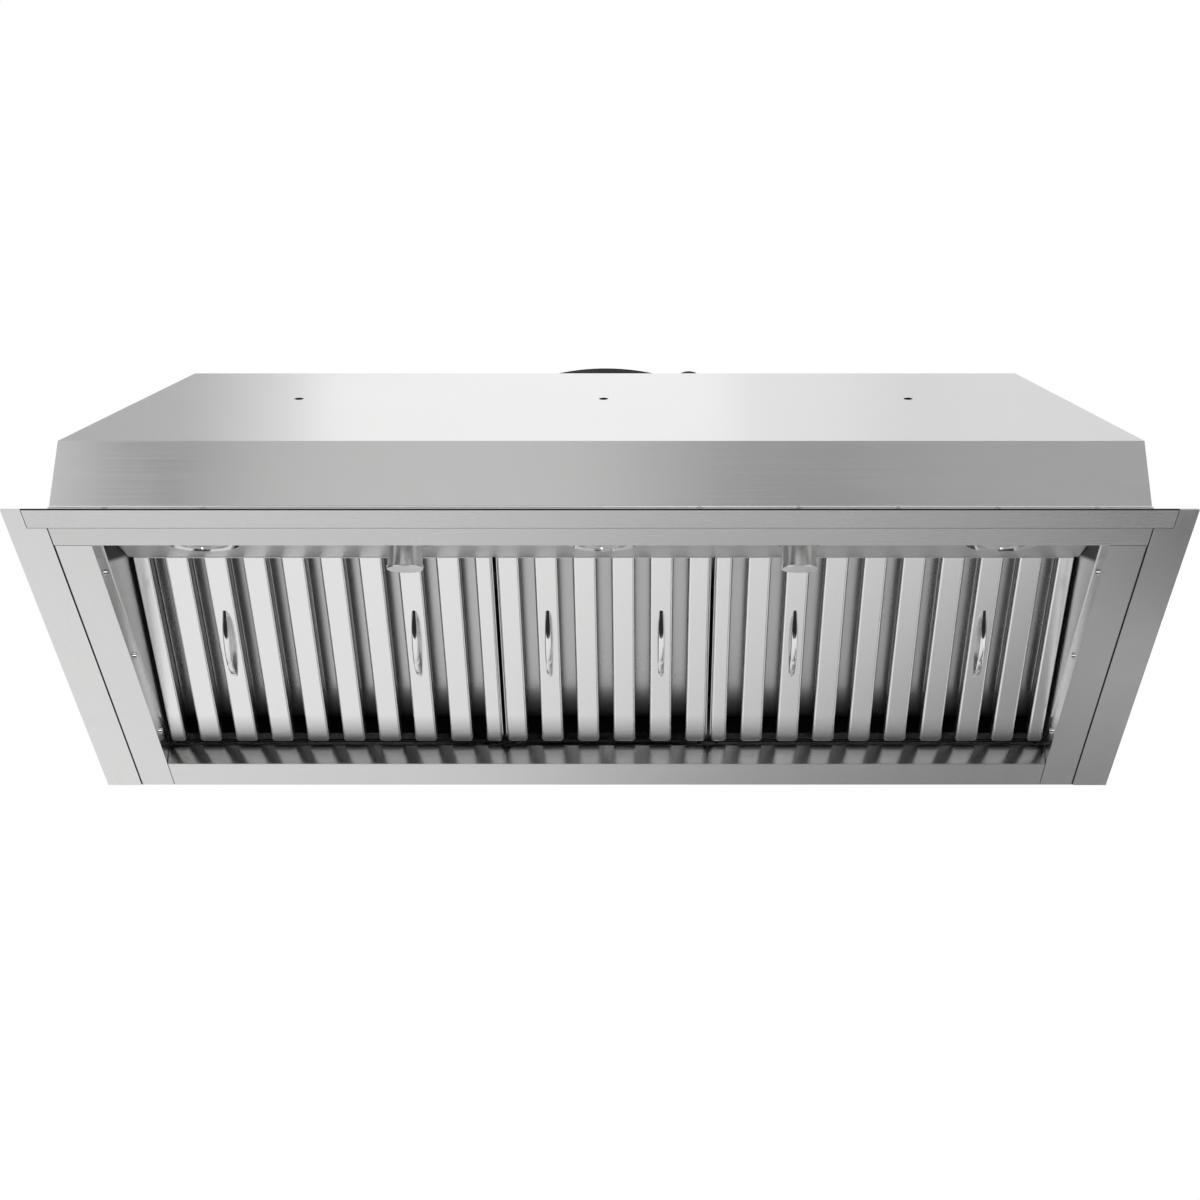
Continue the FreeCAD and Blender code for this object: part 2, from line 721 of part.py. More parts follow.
def filter_frame(width):
    low_y = "(-rod_ahead - filter_length)"
    low_z = "(-rod_rise)"
    half = "(%s/2)" % width
    ring = box("-" + half, low_y, low_z, width, "filter_length", "filter_height")
    core = box(
        "-%s + filter_sheet" % half, low_y + " + filter_sheet", low_z + " - 1",
        "%s - 2*filter_sheet" % width, "filter_length - 2*filter_sheet", "filter_height + 1 - filter_sheet",
    )
    window = box(
        "-%s + filter_lip" % half, low_y + " + filter_lip", low_z,
        "%s - 2*filter_lip" % width, "filter_length - 2*filter_lip", "2*filter_height",
    )
    notch = box(
        "-%s + filter_sheet" % half, "-rod_ahead - 2*filter_sheet", low_z + " - 1",
        "%s - 2*filter_sheet" % width, "4*filter_sheet", "bar_height + 1",
    )
    nose = box(
        "-%s - 1" % half, low_y + " - 1", low_z + " + front_rail_height",
        "%s + 2" % width, "nose_depth + 1", "filter_height",
    )
    shell = cut(ring, [core, window, notch, nose])
    arms = []
    for side in (-1, 1):
        x = "%d*(%s - 2*hook_width) - hook_width/2" % (side, half)
        plate = box(
            x, "-rod_ahead", "-rod_diameter/2",
            "hook_width", "rod_ahead + rod_diameter/2 + hook_wall", "filter_height/2",
        )
        eye = rod_along_x("rod_diameter/2 + rod_fit", x + " - 1", "0", "0", "hook_width + 2")
        slot = box(
            x + " - 1", "-rod_diameter/2 - rod_fit", "-rod_diameter", "hook_width + 2",
            "rod_diameter + 2*rod_fit", "rod_diameter",
        )
        arms.append(cut(plate, [eye, slot]))
    return fuse([shell] + arms)


def filter_unit(name, x, width, bars, end_share, held):
    room = "(%s - 2*filter_sheet)" % width
    bar = "((%s - %d*bar_gap)/(%d + 2*%s))" % (room, bars - 1, bars - 2, end_share)
    pitch = "(%s + bar_gap)" % bar
    low_y = "(-rod_ahead - filter_length + filter_sheet)"
    high_y = "(-rod_ahead - filter_sheet)"
    low_z = "(-rod_rise)"
    first = "(-%d*%s)" % (bars - 3, pitch + "/2")
    middle_bars = tray(
        "%s - %s/2" % (first, bar), "%s + %s/2" % (first, bar), low_y, high_y,
        low_z, "bar_height", True, True, bars - 2, pitch,
    )
    ends = []
    for side in (-1, 1):
        near = "(%d/2*%s - %s/2)" % (bars - 1, pitch, bar)
        far = "(%s/2)" % room
        low_x = near if side > 0 else "-" + far
        high_x = far if side > 0 else "-" + near
        ends.append(tray(low_x, high_x, low_y, high_y, low_z, "bar_height", True, True, 1, pitch))
    node(name + "_filter_lower_baffles", on_rod(fuse([middle_bars] + ends), x))
    start = "(-%d*%s/2)" % (bars - 2, pitch)
    cover = "(bar_gap + 2*cover_lap)"
    covers = tray(
        "%s - %s/2" % (start, cover), "%s + %s/2" % (start, cover),
        "(%s + nose_depth)" % low_y, "(%s - cover_end_gap)" % high_y,
        low_z + " + filter_height - filter_sheet - cover_height", "cover_height", False, False,
        bars - 1, pitch,
    )
    node(name + "_filter_upper_baffles", on_rod(hold(covers), x))
    node(name + "_filter_frame", on_rod(filter_frame(width), x))
    grips = [handle("(%s)*%s" % (place_in_row, pitch)) for place_in_row in held]
    node(name + "_filter_handles", on_rod(fuse(grips), x))


def filters():
    filter_unit("left", "-" + SIDE_X, WIDE, 10, "wide_end_share", ("-2.5", "2.5"))
    filter_unit("centre", "0", "narrow_filter", 6, "narrow_end_share", ("-1.5", "1.5"))
    filter_unit("right", SIDE_X, WIDE, 10, "wide_end_share", ("-2.5", "2.5"))
    bar = rod_along_x("rod_diameter/2", "-" + OPENING_HALF, ROD_Y, ROD_Z, "opening_width")
    node("filter_hinge_rod", bar)
    catches = []
    seats = []
    for x, width in (("-" + SIDE_X, WIDE), ("0", "narrow_filter"), (SIDE_X, WIDE)):
        for side in (-1, 1):
            seats.append("%s + %d*%s/4" % (x, side, width))
    for x in seats:
        catches.append(catch(x))
    node("filter_catches", fuse(catches))


def catch(x):
    """Leaf spring on the lamp panel upstand, bearing on the front rail of a filter."""
    side = "%s - catch_width/2" % x
    leaf = box(side, PANEL_REAR, PANEL_EDGE + " + 4", "catch_width", "catch_sheet", "panel_upstand - 6")
    reach = "(rod_ahead + filter_length)"
    height = "(rod_rise - 10)"
    rail = "(%s - %s*cos(filter_angle) - %s*sin(filter_angle))" % (ROD_Y, reach, height)
    level = "(%s + %s*sin(filter_angle) - %s*cos(filter_angle))" % (ROD_Z, reach, height)
    depth = "((%s - catch_gap - %s)/2)" % (rail, PANEL_REAR)
    bulge = rod_along_x(depth, side, "%s + %s" % (PANEL_REAR, depth), level, "catch_width")
    return fuse([leaf, bulge])


# Duct collar with its two damper flaps
def knuckle(x, length):
    return rod_along_x("damper_pin/2 + knuckle_wall", x, DUCT_Y, DAMPER_Z, length)


def duct():
    flange = rod("duct_diameter/2 + duct_flange", "duct_sheet", "0", DUCT_Y, TOP)
    tube = rod("duct_diameter/2", "duct_height", "0", DUCT_Y, TOP)
    bore = rod("duct_diameter/2 - duct_sheet", "2*duct_height", "0", DUCT_Y, TOP + " - 1")
    seat = DAMPER_Z + " - damper_sheet/2 - damper_rest - duct_sheet"
    ledge = rod("duct_diameter/2 - duct_sheet/2", "duct_sheet", "0", DUCT_Y, seat)
    hole = rod("duct_diameter/2 - duct_sheet - damper_ledge", "2*duct_height", "0", DUCT_Y, TOP + " - 1")
    drilling = rod_along_x("damper_pin/2", "-duct_diameter", DUCT_Y, DAMPER_Z, "2*duct_diameter")
    wall = fuse([cut(fuse([flange, tube]), [bore]), cut(ledge, [hole])])
    node("duct_collar", cut(wall, [drilling]))
    inner = "(duct_diameter/2 - duct_sheet)"
    pin = rod_along_x("damper_pin/2", "-duct_diameter/2", DUCT_Y, DAMPER_Z, "duct_diameter")
    node("damper_spindle", pin)
    clear = "(damper_pin/2 + knuckle_wall + 0.6)"
    for side, label in ((-1, "front_damper_flap"), (1, "rear_damper_flap")):
        disc = rod(inner + " - damper_gap", "damper_sheet", "0", DUCT_Y, DAMPER_Z + " - damper_sheet/2")
        low = clear if side > 0 else "-duct_diameter"
        half = box(
            "-duct_diameter", "%s + %s" % (DUCT_Y, low), DAMPER_Z + " - 5",
            "2*duct_diameter", "duct_diameter - %s" % clear, "10",
        )
        leaf = common(disc, half)
        sleeves = []
        for step in (-1, 1):
            x = "%d*2.5*knuckle_length + %d*knuckle_length - knuckle_length/2" % (step, side)
            tab_y = DUCT_Y if side > 0 else "%s - %s - 1" % (DUCT_Y, clear)
            tab = box(
                x, tab_y, DAMPER_Z + " - damper_sheet/2",
                "knuckle_length - 1", clear + " + 1", "damper_sheet",
            )
            sleeves.append(knuckle(x, "knuckle_length - 1"))
            sleeves.append(tab)
        eye = rod_along_x("damper_pin/2 + damper_fit", "-duct_diameter", DUCT_Y, DAMPER_Z, "2*duct_diameter")
        node(label, cut(fuse([leaf] + sleeves), [eye]))
    heads = []
    for index in range(COLLAR_SCREWS):
        turn = index * 360 / COLLAR_SCREWS
        reach = "(duct_diameter/2 + duct_flange/2)"
        x = "%s*cos(%s)" % (reach, turn)
        y = "%s + %s*sin(%s)" % (DUCT_Y, reach, turn)
        heads.append(screw(x, y, TOP + " + duct_sheet", (1, 0, 0), "0"))
    node("collar_screws", fuse(heads))


# Blower hung under the top panel
def scroll_form(inset):
    radius = "(scroll_radius - %s)" % inset
    start = "-scroll_width/2 + %s" % inset
    width = "scroll_width - 2*%s" % inset
    drum = rod_along_x(radius, start, SCROLL_Y, SCROLL_Z, width)
    throat = box(
        start, "%s + scroll_radius - outlet_depth + %s" % (SCROLL_Y, inset), SCROLL_Z,
        width, "outlet_depth - 2*%s" % inset, "%s - %s" % (CEILING, SCROLL_Z),
    )
    return fuse([drum, throat])


def blower():
    skin = cut(scroll_form("0"), [scroll_form("scroll_sheet")])
    mouth = rod_along_x("inlet_radius", "-scroll_width", WHEEL_Y, SCROLL_Z, "2*scroll_width")
    rim_low = "%s + scroll_radius - outlet_depth" % SCROLL_Y
    rim = box(
        "-scroll_width/2 - outlet_flange", rim_low + " - outlet_flange", CEILING + " - scroll_sheet",
        "scroll_width + 2*outlet_flange", "outlet_depth + 2*outlet_flange", "scroll_sheet",
    )
    shell = cut(skin, [mouth, outlet_passage()])
    node("blower_scroll", fuse([shell, cut(rim, [outlet_passage()])]))
    rings = []
    for side in (-1, 1):
        x = "-scroll_width/2 - scroll_sheet" if side < 0 else "scroll_width/2"
        plate = rod_along_x("inlet_radius + 10", x, WHEEL_Y, SCROLL_Z, "scroll_sheet")
        lip = "-scroll_width/2 - scroll_sheet" if side < 0 else "scroll_width/2 - inlet_depth"
        throat = rod_along_x("inlet_radius", lip, WHEEL_Y, SCROLL_Z, "inlet_depth + scroll_sheet")
        eye = rod_along_x("inlet_radius - scroll_sheet", "-scroll_width", WHEEL_Y, SCROLL_Z, "2*scroll_width")
        rings.append(cut(fuse([plate, throat]), [eye]))
    node("blower_inlet_rings", fuse(rings))
    node("blower_wheel", place(wheel(), "0", WHEEL_Y, SCROLL_Z))
    start = "(-scroll_width/2 - motor_stand - motor_length/2)"
    shaft = rod_along_x("motor_shaft/2", start, WHEEL_Y, SCROLL_Z, "wheel_width/4 - " + start)
    node("motor_shaft", shaft)
    motor()


def wheel():
    """Double-inlet wheel: centre disc, two end rings and blades between them."""
    body = doc.addObject("PartDesign::Body", "wheel")
    blade = [
        ("-blade_sheet/2", "wheel_radius - wheel_ring + blade_inset"),
        ("blade_sheet/2", "wheel_radius - wheel_ring + blade_inset"),
        ("blade_sheet/2", "wheel_radius - blade_inset"),
        ("-blade_sheet/2", "wheel_radius - blade_inset"),
    ]
    strip = pad(body, outline(body, "YZ_Plane", blade, "-wheel_width/2"), "wheel_width")
    row = body.newObject("PartDesign::PolarPattern", "blades")
    row.Originals = [strip]
    row.Axis = (origin_feature(body, "X_Axis"), [""])
    row.Angle = 360
    row.Occurrences = BLADES
    body.Tip = row
    disc = rod_along_x("wheel_radius", "-wheel_sheet/2", "0", "0", "wheel_sheet")
    hub = rod_along_x("wheel_hub", "-wheel_width/8", "0", "0", "wheel_width/4")
    pieces = [body, disc, hub]
    for x in ("-wheel_width/2", "wheel_width/2 - 3*wheel_sheet"):
        outer = rod_along_x("wheel_radius", x, "0", "0", "3*wheel_sheet")
        inner = rod_along_x("wheel_radius - wheel_ring", x + " - 5", "0", "0", "3*wheel_sheet + 10")
        pieces.append(cut(outer, [inner]))
    eye = rod_along_x("motor_shaft/2", "-wheel_width", "0", "0", "2*wheel_width")
    return cut(fuse(pieces), [eye])


def motor():
    face = "(-scroll_width/2 - scroll_sheet - motor_stand)"
    can = rod_along_x("motor_radius", face + " - motor_length", WHEEL_Y, SCROLL_Z, "motor_length")
    hollow = "%s - motor_length + 6" % face
    well = rod_along_x("motor_shaft/2 + shaft_fit", hollow, WHEEL_Y, SCROLL_Z, "motor_length")
    node("blower_motor", cut(can, [well]))
    span = "(inlet_radius + 10)"
    plate = box(
        face, WHEEL_Y + " - bracket_width/2", "%s - %s - 8" % (SCROLL_Z, span),
        "bracket_sheet", "bracket_width", "2*%s + 16" % span,
    )
    legs = []
    for side in (-1, 1):
        z = "%s + %s + 6" % (SCROLL_Z, span) if side > 0 else "%s - %s - 8" % (SCROLL_Z, span)
        leg = box(
            face, WHEEL_Y + " - bracket_width/2", z,
            "motor_stand + scroll_sheet", "bracket_width", "bracket_sheet",
        )
        legs.append(leg)
    eye = rod_along_x("motor_shaft/2 + 3", face + " - 5", WHEEL_Y, SCROLL_Z, "10 + bracket_sheet")
    node("motor_bracket", cut(fuse([plate] + legs), [eye]))


# Electrical pieces
def electrics():
    y = "(%s + box_inset)" % TOP_FRONT
    low = "(%s - box_height)" % CEILING
    case = box("box_start", y, low + " + box_sheet", "box_length", "box_depth", "box_height - box_sheet")
    room = box(
        "box_start + box_sheet", y + " + box_sheet", low, "box_length - 2*box_sheet",
        "box_depth - 2*box_sheet", "box_height - box_sheet",
    )
    entry = rod("gland_bore/2 + 1", "40", "gland_offset", GLAND_Y, CEILING + " - 20")
    node("junction_box", cut(case, [room, entry]))
    node("junction_box_cover", box("box_start", y, low, "box_length", "box_depth", "box_sheet"))
    brick = box(
        "-box_start - driver_length", y, CEILING + " - driver_height",
        "driver_length", "driver_depth", "driver_height",
    )
    node("lamp_driver", brick)
    nut = rod("gland_diameter/2", "gland_height", "gland_offset", GLAND_Y, TOP)
    stem = rod("gland_bore/2 + 1", "gland_height + 6", "gland_offset", GLAND_Y, TOP + " - 6")
    eye = rod("gland_bore/2", "4*gland_height", "gland_offset", GLAND_Y, TOP + " - 2*gland_height")
    node("cable_gland", cut(fuse([nut, stem]), [eye]))


casing()
trims()
trim_screws()
base_strips()
wall_screws()
lamp_panel()
lamps()
controls()
filters()
duct()
blower()
electrics()
doc.recompute()

# Every piece is checked before any file is written
for item in doc.Objects:
    if "Invalid" in item.State or "Error" in item.State:
        raise RuntimeError("%s did not build: %s" % (item.Label, item.State))
for item in NODES:
    if item.Shape.isNull() or not item.Shape.isValid():
        raise RuntimeError("%s has no valid shape" % item.Label)

os.makedirs("parts", exist_ok=True)
for item in NODES:
    item.Shape.exportStep("parts/%s.step" % item.Label)
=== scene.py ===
import json
import math
from collections import namedtuple

import bmesh
import bpy
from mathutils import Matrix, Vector


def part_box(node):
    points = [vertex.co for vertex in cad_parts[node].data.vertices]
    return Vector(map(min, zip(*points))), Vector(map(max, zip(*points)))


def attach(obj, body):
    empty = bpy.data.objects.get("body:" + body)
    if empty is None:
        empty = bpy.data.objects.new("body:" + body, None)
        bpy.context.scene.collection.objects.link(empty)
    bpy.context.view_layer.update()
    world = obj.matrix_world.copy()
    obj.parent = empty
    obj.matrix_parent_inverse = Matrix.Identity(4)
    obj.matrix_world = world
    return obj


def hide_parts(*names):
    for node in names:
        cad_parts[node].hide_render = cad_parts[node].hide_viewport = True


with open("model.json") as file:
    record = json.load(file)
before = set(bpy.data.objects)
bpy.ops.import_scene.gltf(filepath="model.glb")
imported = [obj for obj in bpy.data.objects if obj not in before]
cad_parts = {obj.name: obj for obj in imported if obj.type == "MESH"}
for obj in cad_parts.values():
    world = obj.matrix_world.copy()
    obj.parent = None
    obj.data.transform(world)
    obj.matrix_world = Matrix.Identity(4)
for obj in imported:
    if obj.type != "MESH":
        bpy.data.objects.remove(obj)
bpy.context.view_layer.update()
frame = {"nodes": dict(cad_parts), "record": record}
nodes = frame["nodes"]
scene = bpy.context.scene
scene.view_settings.view_transform = "Standard"

MM = 0.001
X, Y, Z = (1, 0, 0), (0, 1, 0), (0, 0, 1)
PLACES = ("left", "centre", "right")
SIDES = ((-1, "left"), (1, "right"))


# Node helpers
def new_material(name):
    mat = bpy.data.materials.new(name)
    mat.use_nodes = True
    tree = mat.node_tree
    return mat, tree, tree.nodes["Principled BSDF"]


def grey(tone):
    return (tone, tone, tone * 0.995, 1)


def streaks(tree, scale, detail=3.0, rough=0.6):
    """Noise stretched along one axis, as brushing leaves on sheet metal."""
    coord = tree.nodes.new("ShaderNodeTexCoord")
    mapping = tree.nodes.new("ShaderNodeMapping")
    mapping.inputs["Scale"].default_value = scale
    tree.links.new(coord.outputs["Object"], mapping.inputs["Vector"])
    noise = tree.nodes.new("ShaderNodeTexNoise")
    noise.inputs["Scale"].default_value = 1.0
    noise.inputs["Detail"].default_value = detail
    noise.inputs["Roughness"].default_value = rough
    tree.links.new(mapping.outputs["Vector"], noise.inputs["Vector"])
    return noise.outputs["Fac"]


def spread(tree, value, low, high, start=0.3, end=0.7):
    """Map a value from start and end to low and high."""
    ramp = tree.nodes.new("ShaderNodeMapRange")
    ramp.inputs["From Min"].default_value = start
    ramp.inputs["From Max"].default_value = end
    ramp.inputs["To Min"].default_value = low
    ramp.inputs["To Max"].default_value = high
    tree.links.new(value, ramp.inputs["Value"])
    return ramp.outputs["Result"]


def combine(tree, operation, first, second):
    """Do sums on two sockets."""
    sums = tree.nodes.new("ShaderNodeMath")
    sums.operation = operation
    tree.links.new(first, sums.inputs[0])
    tree.links.new(second, sums.inputs[1])
    return sums.outputs[0]


def along(tree, axis):
    """Distance of a surface point along an axis of the object, in metres."""
    coord = tree.nodes.new("ShaderNodeTexCoord")
    dot = tree.nodes.new("ShaderNodeVectorMath")
    dot.operation = "DOT_PRODUCT"
    dot.inputs[1].default_value = axis
    tree.links.new(coord.outputs["Object"], dot.inputs[0])
    return dot.outputs["Value"]


def within(tree, bounds):
    """Share of a surface point inside every bound."""
    shares = [spread(tree, along(tree, axis), 0, 1, start, end) for axis, start, end in bounds]
    total = shares[0]
    for share in shares[1:]:
        total = combine(tree, "MULTIPLY", total, share)
    return total


def blend_colour(tree, first, second, share):
    """Mix two colours, each a constant or a socket, by a socket."""
    mixed = tree.nodes.new("ShaderNodeMix")
    mixed.data_type = "RGBA"
    for socket, colour in ((mixed.inputs[6], first), (mixed.inputs[7], second)):
        if isinstance(colour, tuple):
            socket.default_value = colour
        else:
            tree.links.new(colour, socket)
    tree.links.new(share, mixed.inputs[0])
    return mixed.outputs[2]


def blend_value(tree, first, second, share):
    """Mix a socket and a constant by a socket."""
    mixed = tree.nodes.new("ShaderNodeMix")
    tree.links.new(share, mixed.inputs[0])
    tree.links.new(first, mixed.inputs[2])
    mixed.inputs[3].default_value = second
    return mixed.outputs[0]


def add_bump(tree, shader, height, strength):
    bump = tree.nodes.new("ShaderNodeBump")
    bump.inputs["Strength"].default_value = strength
    bump.inputs["Distance"].default_value = 0.3 * MM
    tree.links.new(height, bump.inputs["Height"])
    tree.links.new(bump.outputs["Normal"], shader.inputs["Normal"])


# Material makers
SMEARS = (4, 4, 4)
TOOTH = (400, 400, 400)


def steel(name, tone, roughness, grain, contrast=0.03, depth=0.04, shades=()):
    """Brushed stainless: streaked tone and roughness, soft smears, fine grain and shades by place."""
    mat, tree, shader = new_material(name)
    shader.inputs["Metallic"].default_value = 1.0
    fine = streaks(tree, grain, detail=2.0, rough=0.5)
    wide = streaks(tree, SMEARS, detail=3.0, rough=0.55)
    dark = grey(tone * (1 - contrast))
    pale = grey(min(1.0, tone * (1 + contrast)))
    colour = blend_colour(tree, dark, pale, spread(tree, fine, 0, 1))
    lines = spread(tree, fine, -contrast, contrast)
    patches = spread(tree, wide, roughness * 0.88, roughness * 1.15)
    gloss = combine(tree, "ADD", lines, patches)
    for shade in shades:
        share = within(tree, shade.bounds)
        colour = blend_colour(tree, colour, grey(shade.tone), share)
        gloss = blend_value(tree, gloss, shade.roughness, share)
    tree.links.new(colour, shader.inputs["Base Color"])
    tree.links.new(gloss, shader.inputs["Roughness"])
    add_bump(tree, shader, fine, depth)
    return mat


def plain(name, colour, roughness, metallic=0.0):
    """Moulded or painted surface with a fine tooth."""
    mat, tree, shader = new_material(name)
    shader.inputs["Metallic"].default_value = metallic
    fine = streaks(tree, TOOTH)
    dark = tuple(c * 0.85 for c in colour) + (1,)
    pale = tuple(min(1, c * 1.15) for c in colour) + (1,)
    tree.links.new(blend_colour(tree, dark, pale, spread(tree, fine, 0, 1)), shader.inputs["Base Color"])
    tree.links.new(spread(tree, fine, roughness * 0.85, roughness * 1.15), shader.inputs["Roughness"])
    add_bump(tree, shader, fine, strength=0.1)
    return mat


# Shades by place: a bound is an axis and two distances along it, absent at the first and full at the second
Shade = namedtuple("Shade", "tone roughness bounds")
RIM_BLEND = 0.4 * MM


def rim(axis, edge, inward):
    """Bound of a rim that reaches inward from an edge."""
    start = edge + inward
    return (axis, start, start - math.copysign(RIM_BLEND, inward))


def facing_down(slope):
    """Unit vector out of an underside that slopes from front to rear."""
    return (0, math.sin(slope), -math.cos(slope))


def furthest(name, axis):
    """Furthest reach of a node along an axis."""
    return max(Vector(axis).dot(vertex.co) for vertex in nodes[name].data.vertices)


# Casing: foot painted near black, painted shade for the dark seam gap along it
SEAM_SHADE = Shade(0.01, 0.5, [(Z, 4.2 * MM, 3.2 * MM)])

# Trims: near-black edges, painted shade for the dark seam gaps along them
TRIM_RIM = 0.9 * MM
trim_low, trim_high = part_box("front_trim")
CUT_EDGE_SHADE = Shade(0.03, 0.4, [rim(Y, trim_low[1], TRIM_RIM)])
TRIM_BACK_SHADE = Shade(0.08, 0.4, [rim(Y, trim_high[1], -TRIM_RIM)])
TRIM_LEFT_SHADE = Shade(0.08, 0.4, [rim(X, trim_low[0], TRIM_RIM)])
TRIM_RIGHT_SHADE = Shade(0.08, 0.4, [rim(X, trim_high[0], -TRIM_RIM)])

# Base strips: painted shade on the outer edges, grey walls above the hem, painted shade in the corners by
# the lamp panel
STRIP_RIM = 1.0 * MM
HEM_HEIGHT = 28 * MM
PANEL_END = (0, -0.573, 0.819)
strip_low, strip_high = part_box("right_base_strip")
opening_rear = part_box("rear_base_strip")[0][1]
ABOVE_HEM = (Z, HEM_HEIGHT, HEM_HEIGHT + 1 * MM)
BEHIND_PANEL = (PANEL_END, 112 * MM, 116 * MM)
STRIP_LEFT_SHADE = Shade(0.02, 0.4, [rim(X, -strip_high[0], STRIP_RIM)])
STRIP_RIGHT_SHADE = Shade(0.02, 0.4, [rim(X, strip_high[0], -STRIP_RIM)])
WALL_UPPER = Shade(0.88, 0.40, [ABOVE_HEM])
WALL_CORNER_SHADE = Shade(0.03, 0.5, [ABOVE_HEM, BEHIND_PANEL])
# Rear strip: its upright face toned darker and glossier, as painted shade at the back of the opening
REAR_WALL_SHADE = Shade(0.48, 0.14, [(Y, opening_rear + 1.6 * MM, opening_rear + 1.3 * MM)])

# Filters: painted shade on the bar flanks, at the rear ends of bars, troughs and frames, and on the outer
# frame edges
FRAME_RIM = 2.6 * MM
FILTER_SLOPE = math.radians(11.63)
FILTER_FACE = facing_down(-FILTER_SLOPE)
bar_face = furthest("left_filter_lower_baffles", FILTER_FACE)
bar_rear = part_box("left_filter_lower_baffles")[1][1]
frame_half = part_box("right_filter_frame")[1][0]
BAR_FLANK_SHADE = Shade(0.42, 0.30, [(FILTER_FACE, bar_face - 1.5 * MM, bar_face - 4.0 * MM)])
BAR_END_SHADE = Shade(0.25, 0.35, [(Y, bar_rear - 50 * MM, bar_rear + 2 * MM)])
DEEP_END_SHADE = Shade(0.14, 0.5, [(Y, bar_rear - 52 * MM, bar_rear + 30 * MM)])
FRAME_END_SHADE = Shade(0.01, 0.5, [(Y, bar_rear - 20 * MM, bar_rear - 12 * MM)])
FRAME_LEFT_SHADE = Shade(0.01, 0.5, [rim(X, -frame_half, FRAME_RIM)])
FRAME_RIGHT_SHADE = Shade(0.01, 0.5, [rim(X, frame_half, -FRAME_RIM)])

# Knobs: rougher satin end face, toned paler as a painted highlight
PANEL_SLOPE = math.radians(19.2)
KNOB_AXIS = facing_down(PANEL_SLOPE)
knob_end = furthest("fan_knob", KNOB_AXIS)
KNOB_CAP_SATIN_HIGHLIGHT = Shade(1.0, 0.40, [(KNOB_AXIS, knob_end - 0.4 * MM, knob_end - 0.1 * MM)])

# Materials
ALONG_X = (5, 1300, 1300)
ALONG_Y = (1300, 5, 1300)
TURNED = (1300, 1300, 40)
MATERIALS = {
    "casing": steel(
        "casing_steel", tone=0.83, roughness=0.19, grain=ALONG_X, contrast=0.012, depth=0.02,
        shades=[SEAM_SHADE],
    ),
    # Front trim and front strip: the same steel as the side pieces, toned darker as painted shade
    "trim_front": steel(
        "trim_steel_front", tone=0.76, roughness=0.27, grain=ALONG_X, contrast=0.02, depth=0.025,
        shades=[CUT_EDGE_SHADE, TRIM_BACK_SHADE, TRIM_LEFT_SHADE, TRIM_RIGHT_SHADE],
    ),
    "trim_side": steel(
        "trim_steel_side", tone=0.86, roughness=0.20, grain=ALONG_Y, contrast=0.02, depth=0.025,
        shades=[CUT_EDGE_SHADE],
    ),
    "strip_front": steel(
        "strip_steel_front", tone=0.76, roughness=0.25, grain=ALONG_X, contrast=0.02, depth=0.025,
    ),
    "strip_side": steel(
        "strip_steel_side", tone=0.84, roughness=0.20, grain=ALONG_Y, contrast=0.02, depth=0.025,
        shades=[STRIP_LEFT_SHADE, STRIP_RIGHT_SHADE, WALL_UPPER, WALL_CORNER_SHADE],
    ),
    "lamp_panel": steel("lamp_panel_steel", tone=0.73, roughness=0.42, grain=ALONG_X),
    "rear_strip": steel(
        "rear_strip_steel", tone=0.82, roughness=0.20, grain=ALONG_X, contrast=0.02, depth=0.02,
        shades=[REAR_WALL_SHADE],
    ),
    "bar": steel(
        "bar_steel", tone=0.95, roughness=0.18, grain=ALONG_Y, contrast=0.02, depth=0.02,
        shades=[BAR_FLANK_SHADE, BAR_END_SHADE],
    ),
    "frame": steel(
        "filter_frame_steel", tone=0.80, roughness=0.24, grain=ALONG_Y, contrast=0.02, depth=0.02,
        shades=[FRAME_END_SHADE, FRAME_LEFT_SHADE, FRAME_RIGHT_SHADE],
    ),
    # Upper baffles: the bars' steel toned darker, as painted shade in the troughs
    "trough": steel(
        "trough_steel", tone=0.62, roughness=0.25, grain=ALONG_Y, contrast=0.01, depth=0.004,
        shades=[DEEP_END_SHADE],
    ),
    "handle": steel("handle_steel", tone=0.90, roughness=0.08, grain=ALONG_Y, contrast=0.02, depth=0.02),
    "knob": steel(
        "knob_metal", tone=0.84, roughness=0.18, grain=TURNED, contrast=0.03, depth=0.03,
        shades=[KNOB_CAP_SATIN_HIGHLIGHT],
    ),
    "screw": steel("screw_steel", tone=0.70, roughness=0.18, grain=(900, 900, 900)),
    "hem": steel("hem_steel", tone=0.95, roughness=0.35, grain=ALONG_Y),
    "bezel": steel(
        "bezel_metal", tone=0.80, roughness=0.06, grain=(600, 600, 600), contrast=0.02, depth=0.02,
    ),
    # Hinge rod toned near black, as painted shade in the gap at the filters' rear
    "rod": steel("rod_painted_shade", tone=0.02, roughness=0.4, grain=ALONG_X),
    "zinc": steel("zinc_sheet", tone=0.60, roughness=0.42, grain=(60, 60, 60), contrast=0.15),
    "damper": steel("damper_metal", tone=0.62, roughness=0.35, grain=ALONG_X),
    "collar": plain("collar_black", colour=(0.015, 0.015, 0.015), roughness=0.5),
    "plastic": plain("black_plastic", colour=(0.03, 0.03, 0.03), roughness=0.5),
    "motor": plain("motor_paint", colour=(0.06, 0.06, 0.07), roughness=0.4),
    "lamp_body": plain("lamp_body", colour=(0.55, 0.55, 0.55), roughness=0.4, metallic=1.0),
    "glass": plain("lamp_glass", colour=(0.40, 0.40, 0.40), roughness=0.2),
}


# What each node is made of
def dress(key, *names):
    for name in names:
        piece = nodes[name]
        piece.data.materials.clear()
        piece.data.materials.append(MATERIALS[key])


